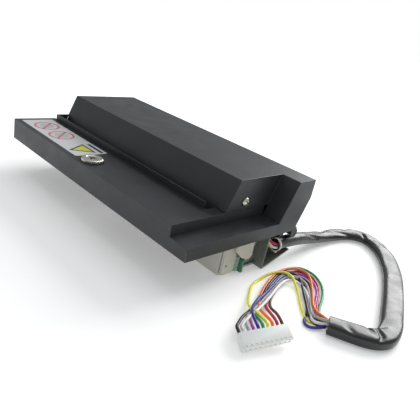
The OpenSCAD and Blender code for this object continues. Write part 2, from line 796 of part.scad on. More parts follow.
module board_components() {
    chip_t = 2;
    top = board_z - chip_t;
    color("black") {
        block([path_mid - 30, sensor_y - 8, top], [path_mid - 16, sensor_y + 6, board_z]);
        block([path_mid + 4, sensor_y - 5, top], [path_mid + 14, sensor_y + 5, board_z]);
        for (i = [0:3]) block([path_mid + 22 + i * 7, sensor_y - 7, top],
                              [path_mid + 26 + i * 7, sensor_y, board_z]);
    }
    color("ivory") block([board_x1 - 34, board_y1 - 9, board_z - 4],
                         [board_x1 - 12, board_y1 - 2, board_z]);
}

module screw_cup() {
    color([0.08, 0.08, 0.09]) translate([thumb_x, thumb_y, cup_z]) difference() {
        cylinder(h = z_tray - cup_z, r = cup_r);
        translate([0, 0, cup_floor]) cylinder(h = 9, r = cup_r - cup_wall);
        translate([0, 0, -1]) cylinder(h = 4, r = thumb_shank_r + 0.5);
    }
}

module pinch_springs(y) {
    spring_z = pinch_z + axle_r;
    color("silver") for (x = post_xs) translate([x, y, spring_z]) difference() {
        cylinder(h = spring_top - spring_z, r = spring_r);
        translate([0, 0, -1]) cylinder(h = 20, r = spring_r - 0.5);
    }
}

module front_pinch_springs() { pinch_springs(front_y); }
module rear_pinch_springs() { pinch_springs(rear_y); }

// ---- Thumb screw ------------------------------------------------------------

module retaining_washer() {
    color("silver") translate([thumb_x, thumb_y, washer_z]) difference() {
        cylinder(h = washer_t, r = washer_r);
        translate([0, 0, -1]) cylinder(h = 4, r = thumb_shank_r + run_fit);
    }
}

module thumb_screw() {
    head_top = z_tray + thumb_proud;
    color("silver") translate([thumb_x, thumb_y, 0]) difference() {
        union() {
            translate([0, 0, head_z]) cylinder(h = head_top - head_z - 0.4, r = thumb_r);
            translate([0, 0, head_top - 0.4]) cylinder(h = 0.4, r1 = thumb_r, r2 = thumb_r - 0.5);
            translate([0, 0, shank_z]) cylinder(h = head_z - shank_z, r = thumb_shank_r);
        }
        translate([0, 0, head_top]) cross_recess(2.6, 1.5);
    }
}

// ---- Pinch rollers ----------------------------------------------------------

module pinch_axle(y) {
    color("silver") rod(post_xs[0] - 4, post_xs[1] + 4, y, pinch_z, axle_r);
}

module pinch_rollers(y) {
    color("whitesmoke") for (x = roller_xs) difference() {
        rod(x - roller_w / 2, x + roller_w / 2, y, pinch_z, pinch_r);
        rod(x - roller_w, x + roller_w, y, pinch_z, axle_r + run_fit);
    }
}

module front_pinch_axle() { pinch_axle(front_y); }
module front_pinch_rollers() { pinch_rollers(front_y); }
module rear_pinch_axle() { pinch_axle(rear_y); }
module rear_pinch_rollers() { pinch_rollers(rear_y); }

// ---- Drive ------------------------------------------------------------------

module drive_shaft(y, x1) {
    color("silver") rod(left_frame_x - 0.8, x1, y, shaft_z, shaft_r);
}

module drive_rollers(y) {
    color([0.15, 0.15, 0.15]) for (x = roller_xs) difference() {
        rod(x - roller_w / 2, x + roller_w / 2, y, shaft_z, drive_r);
        rod(x - roller_w, x + roller_w, y, shaft_z, shaft_r);
    }
}

module pulley(y) {
    color("gainsboro") difference() {
        union() {
            yz(pulley_x, pulley_w) translate([y, shaft_z])
                polygon(tooth_points(pulley_teeth, pulley_r - 0.4, pulley_r, 0.7, 0.4, 0));
            for (x = [pulley_x, pulley_x + pulley_w - 0.6]) rod(x, x + 0.6, y, shaft_z, pulley_flange_r);
        }
        rod(pulley_x - 1, pulley_x + pulley_w + 1, y, shaft_z, shaft_r);
    }
}

module front_shaft() { drive_shaft(front_y, pulley_x + pulley_w + 0.2); }
module front_drive_rollers() { drive_rollers(front_y); }
module front_pulley() { pulley(front_y); }
module rear_shaft() { drive_shaft(rear_y, gear_x + gear_w + 0.2); }
module rear_drive_rollers() { drive_rollers(rear_y); }
module rear_pulley() { pulley(rear_y); }

module driven_gear() {
    color("whitesmoke") difference() {
        yz(gear_x, gear_w) translate([rear_y, shaft_z]) gear_outline(gear_teeth, mesh_angle);
        rod(gear_x - 1, gear_x + gear_w + 1, rear_y, shaft_z, shaft_r);
    }
}

module motor_pinion() {
    facing = mesh_angle - 180 + 180 / pinion_teeth;
    color("goldenrod") {
        yz(gear_x, gear_w) translate([motor_y, motor_z]) gear_outline(pinion_teeth, facing);
        rod(motor_x + 6.5, gear_x, motor_y, motor_z, motor_shaft_r);
    }
}

// ---- Cable ------------------------------------------------------------------

module cable_tie() {
    p = sleeve_route[0];
    color("white") difference() {
        translate([p[0], p[1], p[2]]) rotate([-90, 0, 0]) union() {
            cylinder(h = tie_w, r = p[3] + tie_t);
            translate([-1.6, p[3] - 0.2, 0]) cube([3.2, 1.6, tie_w]);
        }
        translate([p[0], p[1] - 1, p[2]]) rotate([-90, 0, 0]) cylinder(h = 6, r = p[3] + 0.1);
    }
}

module cable_sleeve() { color([0.07, 0.07, 0.08]) tube(sleeve_route, sleeve_sides); }
module wire_loom() { color("purple") tube(loom_route, wire_sides); }

// Connector frame: x along the row of ways, y from the mouth to the wires
module in_connector() {
    translate([connector_at[0], connector_at[1], 0])
        rotate([0, 0, connector_turn]) rotate([0, -connector_lift, 0]) rotate([connector_tilt, 0, 0])
            children();
}

connector_l = ways * way_pitch + 2 * connector_wall;

module connector_housing() {
    color("white") in_connector() difference() {
        cube([connector_l, connector_d, connector_h]);
        for (i = [0:ways - 1])
            translate([connector_wall + (i + 0.5) * way_pitch, -1, connector_h / 2]) rotate([-90, 0, 0])
                cylinder(h = connector_d + 2, r = contact_r);
        translate([-1, 3, connector_h - 0.6]) cube([connector_l + 2, 1.4, 2]);
    }
}

module connector_contacts() {
    color("gold") in_connector() for (i = [0:ways - 1])
        translate([connector_wall + (i + 0.5) * way_pitch, 1.5, connector_h / 2]) rotate([-90, 0, 0])
            cylinder(h = connector_d - 3, r = contact_r);
}

// ---- Assembly ---------------------------------------------------------------

base_plate();
front_wall();
wire_ear();
end_cap();
light_guide();
sensor_board();
cable_bracket();
left_frame();
right_frame();
gear_cover();
frame_spacers();
frame_screws();
lower_guide();
light_bar();
light_bar_glass();
shaft_bushes();
drive_belt();
motor();
hinge_pins();
latch_arm();
latch_nut();
front_plate();
top_cover();
label();
side_screws();
upper_guide();
image_sensor();
sensor_glass();
control_board();
board_standoffs();
board_components();
screw_cup();
front_pinch_springs();
rear_pinch_springs();
retaining_washer();
thumb_screw();
front_pinch_axle();
front_pinch_rollers();
rear_pinch_axle();
rear_pinch_rollers();
front_shaft();
front_drive_rollers();
front_pulley();
rear_shaft();
rear_drive_rollers();
rear_pulley();
driven_gear();
motor_pinion();
cable_tie();
cable_sleeve();
wire_loom();
connector_housing();
connector_contacts();
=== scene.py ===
import math

import bmesh
import bpy
from mathutils import Matrix, Vector


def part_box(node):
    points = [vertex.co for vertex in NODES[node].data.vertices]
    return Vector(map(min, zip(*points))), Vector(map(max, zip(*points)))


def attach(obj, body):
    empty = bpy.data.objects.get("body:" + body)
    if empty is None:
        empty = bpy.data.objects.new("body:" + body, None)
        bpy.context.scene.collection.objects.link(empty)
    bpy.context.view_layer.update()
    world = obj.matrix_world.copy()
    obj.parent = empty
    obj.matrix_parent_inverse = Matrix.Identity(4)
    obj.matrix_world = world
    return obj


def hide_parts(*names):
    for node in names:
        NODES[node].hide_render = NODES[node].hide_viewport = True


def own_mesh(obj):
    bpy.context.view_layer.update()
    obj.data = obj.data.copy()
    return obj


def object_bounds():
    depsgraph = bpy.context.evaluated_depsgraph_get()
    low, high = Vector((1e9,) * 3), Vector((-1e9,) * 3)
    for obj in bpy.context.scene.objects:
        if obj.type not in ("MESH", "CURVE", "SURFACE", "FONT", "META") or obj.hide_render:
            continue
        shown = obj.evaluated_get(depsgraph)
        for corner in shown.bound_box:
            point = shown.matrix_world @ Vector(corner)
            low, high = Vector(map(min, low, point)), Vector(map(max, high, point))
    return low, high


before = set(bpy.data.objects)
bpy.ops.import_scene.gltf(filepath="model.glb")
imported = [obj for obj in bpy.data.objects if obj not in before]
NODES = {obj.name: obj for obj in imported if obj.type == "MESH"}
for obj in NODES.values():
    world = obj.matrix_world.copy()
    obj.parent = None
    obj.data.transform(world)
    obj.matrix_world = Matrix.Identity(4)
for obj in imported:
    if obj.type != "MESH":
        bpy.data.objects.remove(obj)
cad_lo, cad_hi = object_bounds()
MM = 0.001

# ---- Camera, floor and light -------------------------------------------------

CAMERA_AT = Vector((0.2245, -0.1878, 0.1319))
CAMERA_LOOKS_AT = Vector((0.0489, 0.0121, 0.0200))
CAMERA_ROLL = math.radians(12.2)
CAMERA_LENS = 40.44


def make_camera():
    data = bpy.data.cameras.new("camera")
    data.lens = CAMERA_LENS
    data.clip_start = 0.01
    data.clip_end = 50
    camera = bpy.data.objects.new("camera", data)
    aim = (CAMERA_LOOKS_AT - CAMERA_AT).to_track_quat("-Z", "Y").to_matrix().to_4x4()
    camera.matrix_world = Matrix.Translation(CAMERA_AT) @ aim @ Matrix.Rotation(CAMERA_ROLL, 4, "Z")
    bpy.context.collection.objects.link(camera)
    bpy.context.scene.camera = camera


def area_light(name, at, towards, size, power):
    data = bpy.data.lights.new(name, "AREA")
    data.shape = "SQUARE"
    data.size = size
    data.energy = power
    light = bpy.data.objects.new(name, data)
    light.location = at
    light.rotation_euler = (Vector(towards) - Vector(at)).to_track_quat("-Z", "Y").to_euler()
    bpy.context.collection.objects.link(light)


def make_studio():
    """Pale to the camera and dim to the object, which two soft lights reach from behind and above."""
    world = bpy.data.worlds.new("studio")
    world.use_nodes = True
    tree = world.node_tree
    seen = tree.nodes["Background"]
    seen.inputs["Color"].default_value = (1, 1, 1, 1)
    seen.inputs["Strength"].default_value = 1.0
    dim = tree.nodes.new("ShaderNodeBackground")
    dim.inputs["Color"].default_value = (0.96, 0.98, 1.0, 1)
    dim.inputs["Strength"].default_value = 0.45
    mix = tree.nodes.new("ShaderNodeMixShader")
    tree.links.new(tree.nodes.new("ShaderNodeLightPath").outputs["Is Camera Ray"], mix.inputs[0])
    tree.links.new(dim.outputs[0], mix.inputs[1])
    tree.links.new(seen.outputs[0], mix.inputs[2])
    tree.links.new(mix.outputs[0], tree.nodes["World Output"].inputs["Surface"])
    bpy.context.scene.world = world
    area_light("back_softbox", (-0.02, 1.0, 0.64), (0.05, 0, 0), 0.8, 12)
    area_light("overhead", (0.05, 0.15, 1.1), (0.05, 0, 0), 0.9, 2.2)
    bpy.context.scene.view_settings.view_transform = "Standard"


def make_floor():
    bm = bmesh.new()
    bmesh.ops.create_grid(bm, x_segments=1, y_segments=1, size=6)
    floor = mesh_object("floor", bm, material_floor())
    floor.location.z = cad_lo.z


# ---- Mesh helpers ------------------------------------------------------------

def mesh_object(name, bm, *materials, smooth=0.0):
    """A mesh object from bm; faces meeting at less than smooth degrees are shaded smooth."""
    data = bpy.data.meshes.new(name)
    bmesh.ops.recalc_face_normals(bm, faces=bm.faces)
    bm.to_mesh(data)
    bm.free()
    for material in materials:
        data.materials.append(material)
    obj = bpy.data.objects.new(name, data)
    bpy.context.collection.objects.link(obj)
    if smooth:
        data.shade_smooth()
        data.set_sharp_from_angle(angle=math.radians(smooth))
    return obj


def apply_modifiers(obj):
    """Bakes obj's modifiers into its own mesh."""
    graph = bpy.context.evaluated_depsgraph_get()
    baked = bpy.data.meshes.new_from_object(obj.evaluated_get(graph))
    obj.modifiers.clear()
    obj.data = baked


def cut(obj, cutter):
    """Takes the cutter's volume out of obj and removes the cutter."""
    boolean = obj.modifiers.new("cut", "BOOLEAN")
    boolean.operation = "DIFFERENCE"
    boolean.solver = "EXACT"
    boolean.object = cutter
    apply_modifiers(obj)
    bpy.data.objects.remove(cutter)


def add_box(bm, lo, hi):
    """Adds the box from lo to hi to bm."""
    lo, hi = Vector(lo), Vector(hi)
    size = Matrix.Diagonal((*(hi - lo), 1))
    bmesh.ops.create_cube(bm, size=1, matrix=Matrix.Translation((lo + hi) / 2) @ size)


def add_rod(bm, radius, start, end, sides):
    """Adds a rod from start to end to bm."""
    start, end = Vector(start), Vector(end)
    turn = (end - start).to_track_quat("Z", "Y").to_matrix().to_4x4()
    placed = Matrix.Translation((start + end) / 2) @ turn
    bmesh.ops.create_cone(bm, cap_ends=True, segments=sides, radius1=radius, radius2=radius,
                          depth=(end - start).length, matrix=placed)


def add_skin(bm, rings):
    """Joins rings of the same number of points into a skin, with flat ends."""
    rows = [[bm.verts.new(p) for p in ring] for ring in rings]
    sides = len(rows[0])
    for a, b in zip(rows, rows[1:]):
        for i in range(sides):
            j = (i + 1) % sides
            bm.faces.new((a[i], a[j], b[j], b[i]))
    bm.faces.new(rows[0][::-1])
    bm.faces.new(rows[-1])


def add_tube(bm, path, radius, sides=8):
    """A round tube along the path."""
    rings = []
    across_it = Vector((0, 0, 1))
    for k, p in enumerate(path):
        ahead = (Vector(path[min(k + 1, len(path) - 1)]) - Vector(path[max(k - 1, 0)])).normalized()
        across_it = (across_it - ahead * across_it.dot(ahead)).normalized()
        other = ahead.cross(across_it)
        rings.append([Vector(p) + radius * (across_it * math.cos(math.tau * i / sides)
                                            + other * math.sin(math.tau * i / sides)) for i in range(sides)])
    add_skin(bm, rings)


def smooth_path(points, per_span):
    """A Catmull-Rom curve through the points, whatever number of values each one holds."""
    ends = [[2 * a - b for a, b in zip(points[0], points[1])]]
    ends += [list(p) for p in points]
    ends += [[2 * a - b for a, b in zip(points[-1], points[-2])]]
    path = []
    for k in range(1, len(ends) - 2):
        for step in range(per_span):
            t = step / per_span
            path.append([
                0.5 * (2 * b + (c - a) * t + (2 * a - 5 * b + 4 * c - d) * t ** 2
                       + (3 * b - a - 3 * c + d) * t ** 3)
                for a, b, c, d in zip(*ends[k - 1:k + 3])
            ])
    path.append(list(points[-1]))
    return path


def wire_curve(name, path, radius, material):
    """A round wire along the path, as one open spline."""
    data = bpy.data.curves.new(name, "CURVE")
    data.dimensions = "3D"
    data.bevel_depth = radius
    data.bevel_resolution = 3
    data.use_fill_caps = True
    spline = data.splines.new("POLY")
    spline.points.add(len(path) - 1)
    for point, place in zip(spline.points, path):
        point.co = (*place[:3], 1)
    spline.use_smooth = True
    data.materials.append(material)
    obj = bpy.data.objects.new(name, data)
    bpy.context.collection.objects.link(obj)
    return obj


# ---- Material helpers --------------------------------------------------------

def new_material(name, **shader):
    """A Principled material; shader holds its constants, with _ for a space in a socket's name."""
    material = bpy.data.materials.new(name)
    material.use_nodes = True
    tree = material.node_tree
    principled = tree.nodes["Principled BSDF"]
    for socket, value in shader.items():
        principled.inputs[socket.replace("_", " ")].default_value = value
    return material, tree, principled


def add(tree, kind, inputs=None, **settings):
    """Adds a node, sets its settings, and sets or links its inputs."""
    made = tree.nodes.new("ShaderNode" + kind)
    for name, value in settings.items():
        setattr(made, name, value)
    for name, value in (inputs or {}).items():
        if isinstance(value, bpy.types.NodeSocket):
            tree.links.new(value, made.inputs[name])
        else:
            made.inputs[name].default_value = value
    return made


def place(tree, stretch=(1, 1, 1)):
    """Object coordinates in millimetres, stretched along the axes."""
    coords = add(tree, "TexCoord").outputs["Object"]
    scale = [1000 * s for s in stretch]
    return add(tree, "Mapping", {"Vector": coords, "Scale": scale}).outputs["Vector"]


def noise(tree, vector, scale, detail=3.0, roughness=0.55):
    inputs = {"Vector": vector, "Scale": scale, "Detail": detail, "Roughness": roughness}
    return add(tree, "TexNoise", inputs).outputs["Fac"]


def remap(tree, value, low, high, to_low=0.0, to_high=1.0):
    inputs = {"Value": value, "From Min": low, "From Max": high, "To Min": to_low, "To Max": to_high}
    return add(tree, "MapRange", inputs).outputs["Result"]


def maths(tree, operation, a, b):
    return add(tree, "Math", {0: a, 1: b}, operation=operation).outputs[0]


def blend_colours(tree, factor, a, b):
    """a where factor is 0, b where it is 1; each a colour or a socket."""
    a, b = [(*c, 1) if isinstance(c, tuple) else c for c in (a, b)]
    inputs = {0: factor, 6: a, 7: b}
    made = tree.nodes.new("ShaderNodeMix")
    made.data_type = "RGBA"
    for index, value in inputs.items():
        if isinstance(value, bpy.types.NodeSocket):
            tree.links.new(value, made.inputs[index])
        else:
            made.inputs[index].default_value = value
    return made.outputs[2]


def bump(tree, principled, height, strength, distance_mm):
    inputs = {"Height": height, "Strength": strength, "Distance": distance_mm * MM}
    tree.links.new(add(tree, "Bump", inputs).outputs["Normal"], principled.inputs["Normal"])


def worn_edges(tree, radius_mm, vector, scale, keep):
    """1 on the sharp edges where a noise is above keep, and 0 elsewhere."""
    rounded = add(tree, "Bevel", {"Radius": radius_mm * MM}, samples=6).outputs["Normal"]
    facing = add(tree, "NewGeometry").outputs["Normal"]
    dot = add(tree, "VectorMath", {0: rounded, 1: facing}, operation="DOT_PRODUCT").outputs["Value"]
    edge = remap(tree, dot, 0.97, 0.86)
    return maths(tree, "MULTIPLY", edge, remap(tree, noise(tree, vector, scale), keep, keep + 0.06))


def shade(colour, factor):
    return tuple(c * factor for c in colour)


def varied(name, colour, spread=0.12, scale=0.25, rough=0.45, rough_spread=0.12, grain=1.5,
           grain_height=0.02, stretch=(1, 1, 1), **shader):
    """A material whose colour and roughness drift a little, over a fine surface grain."""
    material, tree, principled = new_material(name, **shader)
    at = place(tree, stretch)
    drift = noise(tree, at, scale)
    colour_out = blend_colours(tree, drift, shade(colour, 1 - spread), shade(colour, 1 + spread))
    tree.links.new(colour_out, principled.inputs["Base Color"])
    fine = noise(tree, at, grain, 4.0)
    tree.links.new(remap(tree, fine, 0.25, 0.75, rough - rough_spread, rough + rough_spread),
                   principled.inputs["Roughness"])
    bump(tree, principled, fine, 0.6, grain_height)
    return material


# ---- Materials ---------------------------------------------------------------

PAINT = (0.019, 0.023, 0.026)
BARE_METAL = (0.34, 0.35, 0.35)


def material_floor():
    """White paper, lifted by a painted glow that lightens the shadows on it and grows away from the object so
    that it fades into the world.
    """
    material, tree, principled = new_material("floor_paper_painted_glow", Roughness=0.9, Specular_IOR_Level=0.2,
                                              Emission_Color=(1, 1, 1, 1))
    coords = add(tree, "TexCoord").outputs["Object"]
    away = add(tree, "VectorMath", {0: coords}, operation="LENGTH").outputs["Value"]
    # painted light: the floor glows, least near the object and more further away
    tree.links.new(remap(tree, away, 0.15, 0.8, 0.26, 0.70), principled.inputs["Emission Strength"])
    grain = noise(tree, place(tree), 0.02, 2.0)
    tree.links.new(blend_colours(tree, grain, (0.93, 0.93, 0.925), (0.95, 0.95, 0.95)),
                   principled.inputs["Base Color"])
    return material


def material_paint():
    """Satin powder coat: a fine orange peel, a little dust, and bare metal on a few sharp edges."""
    material, tree, principled = new_material("black_powder_coat", Specular_IOR_Level=0.5)
    at = place(tree)
    peel = noise(tree, at, 2.2, 2.0)
    dust = remap(tree, noise(tree, at, 0.035, 5.0), 0.35, 0.75)
    coat = blend_colours(tree, dust, shade(PAINT, 0.85), shade(PAINT, 1.35))
    worn = worn_edges(tree, 0.35, at, 0.11, 0.62)
    tree.links.new(blend_colours(tree, worn, coat, BARE_METAL), principled.inputs["Base Color"])
    smears = remap(tree, noise(tree, at, 0.09, 4.0), 0.3, 0.7, 0.36, 0.47)
    tree.links.new(smears, principled.inputs["Roughness"])
    bump(tree, principled, peel, 0.35, 0.03)
    return material


def material_galvanised():
    """Zinc spangle on rolled sheet steel."""
    material, tree, principled = new_material("galvanised_sheet", Metallic=0.85)
    at = place(tree)
    spangle = add(tree, "TexVoronoi", {"Vector": at, "Scale": 0.45}).outputs["Color"]
    tone = add(tree, "RGBToBW", {"Color": spangle}).outputs["Val"]
    rolled = noise(tree, place(tree, (1, 0.1, 1)), 1.2, 4.0)
    mixed = maths(tree, "MULTIPLY", tone, rolled)
    zinc = blend_colours(tree, remap(tree, mixed, 0.1, 0.5), (0.40, 0.41, 0.41), (0.60, 0.61, 0.60))
    tree.links.new(zinc, principled.inputs["Base Color"])
    tree.links.new(remap(tree, mixed, 0.1, 0.5, 0.34, 0.5), principled.inputs["Roughness"])
    bump(tree, principled, rolled, 0.3, 0.02)
    return material


def material_board():
    """Green solder mask over copper tracks, with tinned pads."""
    material, tree, principled = new_material("green_board", Specular_IOR_Level=0.55)
    at = place(tree)
    tracks = add(tree, "TexBrick", {"Vector": at, "Scale": 0.4, "Mortar Size": 0.03, "Color1": (0, 0, 0, 1),
                                    "Color2": (0, 0, 0, 1), "Mortar": (1, 1, 1, 1)}).outputs["Color"]
    mask = blend_colours(tree, tracks, (0.010, 0.105, 0.050), (0.022, 0.185, 0.090))
    pads = add(tree, "TexVoronoi", {"Vector": at, "Scale": 0.55}).outputs["Distance"]
    tinned = remap(tree, pads, 0.17, 0.14)
    tree.links.new(blend_colours(tree, tinned, mask, (0.62, 0.62, 0.58)), principled.inputs["Base Color"])
    tree.links.new(remap(tree, noise(tree, at, 0.8), 0.3, 0.7, 0.25, 0.4), principled.inputs["Roughness"])
    bump(tree, principled, tracks, 0.5, 0.03)
    return material


def turned_metal(name, colour, rough, along):
    """Metal with fine lathe marks round the axis named by along."""
    stretch = {"X": (6, 0.2, 0.2), "Y": (0.2, 6, 0.2), "Z": (0.2, 0.2, 6)}[along]
    return varied(name, colour, spread=0.08, scale=0.6, rough=rough, rough_spread=0.08, grain=1.2,
                  grain_height=0.01, stretch=stretch, Metallic=1.0)


def material_sleeve():
    """Glossy soft PVC with long faint wrinkles and dull patches."""
    material, tree, principled = new_material("sleeve_pvc", Specular_IOR_Level=0.55)
    at = place(tree)
    patches = noise(tree, at, 0.10, 4.0)
    tree.links.new(blend_colours(tree, patches, (0.006, 0.006, 0.007), (0.018, 0.018, 0.020)),
                   principled.inputs["Base Color"])
    tree.links.new(remap(tree, patches, 0.35, 0.7, 0.22, 0.42), principled.inputs["Roughness"])
    bump(tree, principled, noise(tree, at, 0.55, 4.0), 0.5, 0.18)
    return material


def wire_material(name, colour):
    return varied("wire_" + name, colour, spread=0.06, scale=0.2, rough=0.34, rough_spread=0.06, grain=2.5,
                  grain_height=0.01, Specular_IOR_Level=0.5)


WIRE_COLOURS = {
    "black": (0.012, 0.012, 0.013),
    "white": (0.80, 0.80, 0.78),
    "grey": (0.42, 0.42, 0.41),
    "violet": (0.36, 0.10, 0.42),
    "blue": (0.035, 0.03, 0.28),
    "green": (0.03, 0.36, 0.14),
    "yellow": (0.90, 0.88, 0.10),
    "orange": (0.92, 0.22, 0.06),
    "red": (0.48, 0.03, 0.06),
    "brown": (0.14, 0.04, 0.02),
}


def make_materials():
    return {
        "paint": material_paint(),
        "galvanised": material_galvanised(),
        "oiled_steel": varied("oiled_steel", (0.20, 0.215, 0.19), spread=0.3, scale=0.15, rough=0.45,
                              grain=1.0, grain_height=0.02, stretch=(1, 0.2, 1), Metallic=0.4),
        "board": material_board(),
        "sleeve": material_sleeve(),
        "white_plastic": varied("white_plastic", (0.62, 0.61, 0.53), spread=0.07, scale=0.07, rough=0.42),
        "black_plastic": varied("black_plastic", (0.020, 0.020, 0.022), spread=0.2, scale=0.15, rough=0.5,
                                grain=3.0, grain_height=0.03),
        "green_clear": varied("green_clear", (0.55, 0.74, 0.62), spread=0.1, scale=0.2, rough=0.25,
                              Transmission_Weight=0.35, IOR=1.49),
        "dark_steel": turned_metal("dark_steel", (0.09, 0.09, 0.095), 0.42, "X"),
        "steel": turned_metal("ground_steel", (0.56, 0.57, 0.58), 0.24, "X"),
        "nickel": turned_metal("nickel_plate", (0.60, 0.59, 0.52), 0.28, "Z"),
        "spring_steel": turned_metal("spring_steel", (0.50, 0.50, 0.50), 0.3, "Z"),
        "brass": turned_metal("brass", (0.72, 0.52, 0.20), 0.3, "Z"),
        "bronze": turned_metal("sintered_bronze", (0.48, 0.30, 0.14), 0.48, "X"),
        "rubber": varied("grey_rubber", (0.045, 0.045, 0.048), spread=0.15, scale=0.4, rough=0.72,
                         rough_spread=0.08, grain=3.5, grain_height=0.05),
        "sensor_glass": varied("sensor_glass", (0.03, 0.045, 0.05), spread=0.15, scale=0.1, rough=0.08,
                               rough_spread=0.03, grain=0.3, grain_height=0.002, Coat_Weight=0.6),
        "nylon": varied("natural_nylon", (0.70, 0.68, 0.60), spread=0.05, scale=0.3, rough=0.4,
                        Subsurface_Weight=0.1),
        "belt": varied("belt_rubber", (0.015, 0.015, 0.016), spread=0.2, scale=0.8, rough=0.65,
                       grain=4.0, grain_height=0.06),
        "paper": varied("sticker_paper", (0.62, 0.63, 0.63), spread=0.04, scale=0.06, rough=0.30,
                        rough_spread=0.05, grain=1.0, grain_height=0.008, Coat_Weight=0.2),
        "red_ink": varied("red_ink", (0.55, 0.15, 0.17), spread=0.15, scale=0.3, rough=0.35),
        "yellow_ink": varied("yellow_ink", (0.62, 0.62, 0.06), spread=0.1, scale=0.3, rough=0.35),
        "black_ink": varied("black_ink", (0.035, 0.035, 0.05), spread=0.2, scale=0.3, rough=0.38),
        "grey_ink": varied("grey_ink", (0.46, 0.48, 0.50), spread=0.1, scale=0.3, rough=0.38),
        "connector": varied("connector_nylon", (0.82, 0.82, 0.79), spread=0.03, scale=0.3, rough=0.38,
                            Subsurface_Weight=0.15),
        "wires": {name: wire_material(name, colour) for name, colour in WIRE_COLOURS.items()},
        "tin": turned_metal("tinned_contacts", (0.58, 0.58, 0.55), 0.3, "Y"),
    }


# ---- CAD nodes that stay -----------------------------------------------------

# Each material, and the CAD nodes that keep their shape and take it
KEPT = {
    "paint": ["front_plate", "top_cover", "hinge_pins"],
    "oiled_steel": ["cable_bracket"],
    "galvanised": ["base_plate", "left_frame", "right_frame", "gear_cover", "latch_arm"],
    "white_plastic": ["front_wall", "wire_ear", "end_cap"],
    "green_clear": ["light_guide"],
    "board": ["sensor_board", "control_board"],
    "black_plastic": ["lower_guide", "upper_guide", "light_bar", "image_sensor", "screw_cup",
                      "board_components"],
    "sensor_glass": ["light_bar_glass", "sensor_glass"],
    "steel": ["front_shaft", "rear_shaft", "front_pinch_axle", "rear_pinch_axle"],
    "nickel": ["frame_spacers", "frame_screws", "retaining_washer"],
    "bronze": ["shaft_bushes"],
    "brass": ["latch_nut", "motor_pinion", "board_standoffs"],
    "rubber": ["front_drive_rollers", "rear_drive_rollers", "front_pinch_rollers", "rear_pinch_rollers"],
    "nylon": ["driven_gear", "front_pulley", "rear_pulley", "cable_tie"],
    "belt": ["drive_belt"],
    "dark_steel": ["motor"],
    "tin": ["connector_contacts"],
}
# Edge radius, in millimetres, of the nodes whose edges show
ROUNDED = {
    "front_plate": 0.35, "top_cover": 0.35, "front_wall": 0.25, "wire_ear": 0.3, "end_cap": 0.25,
    "cable_bracket": 0.12, "base_plate": 0.12, "light_guide": 0.15, "sensor_board": 0.05,
    "lower_guide": 0.2, "upper_guide": 0.2, "motor": 0.3, "cable_tie": 0.15,
}


def soften(obj, radius_mm):
    """Rounds the sharp edges by a modifier, so that they catch the light."""
    weld = obj.modifiers.new("weld", "WELD")
    weld.merge_threshold = 0.002 * MM
    bevel = obj.modifiers.new("bevel", "BEVEL")
    bevel.width = radius_mm * MM
    bevel.segments = 2
    bevel.limit_method = "ANGLE"
    bevel.angle_limit = math.radians(28)
    bevel.harden_normals = True
    bevel.use_clamp_overlap = True


def dress_kept_nodes(materials):
    for material, names in KEPT.items():
        for name in names:
            obj = NODES[name]
            for slot in obj.material_slots:
                slot.link = "OBJECT"
                slot.material = materials[material]
            if name in ROUNDED:
                soften(obj, ROUNDED[name])


# ---- Label -------------------------------------------------------------------

LABEL_CORNER = 1.2 * MM
PRINT_HEIGHT = 0.03 * MM


def centred_outline(width, depth, radius, steps=5):
    """A rectangle with round corners, centred on the origin."""
    points = []
    for quarter, (sx, sy) in enumerate([(1, 1), (-1, 1), (-1, -1), (1, -1)]):
        centre = Vector((sx * (width / 2 - radius), sy * (depth / 2 - radius)))
        for k in range(steps + 1):
            turn = math.pi / 2 * (quarter + k / steps)
            points.append(centre + radius * Vector((math.cos(turn), math.sin(turn))))
    return points


def add_slab(bm, outline, centre, z0, z1):
    """A flat closed slab of the outline, moved to centre."""
    rings = [[Vector((p[0] + centre[0], p[1] + centre[1], z)) for p in outline] for z in (z0, z1)]
    add_skin(bm, rings)


def circle_outline(radius, steps=40):
    return [Vector((radius * math.cos(math.tau * k / steps), radius * math.sin(math.tau * k / steps)))
            for k in range(steps)]


def add_ring(bm, radius, width, centre, z0, z1, steps=40):
    """A flat closed ring."""
    loops = [(radius, z0), (radius, z1), (radius - width, z1), (radius - width, z0)]
    rows = [[bm.verts.new((centre[0] + r * math.cos(math.tau * k / steps),
                           centre[1] + r * math.sin(math.tau * k / steps), z)) for k in range(steps)]
            for r, z in loops]
    for a, b in zip(rows, rows[1:] + rows[:1]):
        for k in range(steps):
            bm.faces.new((a[k], a[(k + 1) % steps], b[(k + 1) % steps], b[k]))


def turned_bar(length, width, angle):
    """A bar's outline, turned about its centre."""
    turn = Matrix.Rotation(math.radians(angle), 2)
    return [turn @ Vector((sx * length / 2, sy * width / 2))
            for sx, sy in [(1, 1), (-1, 1), (-1, -1), (1, -1)]]


def triangle_outline(side):
    """Centred on the origin, pointing to the front."""
    return [Vector((side / 2, side * 0.29)), Vector((-side / 2, side * 0.29)), Vector((0, -side * 0.577))]


def print_piece(name, bm, material):
    piece = mesh_object(name, bm, material)
    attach(piece, "cover")


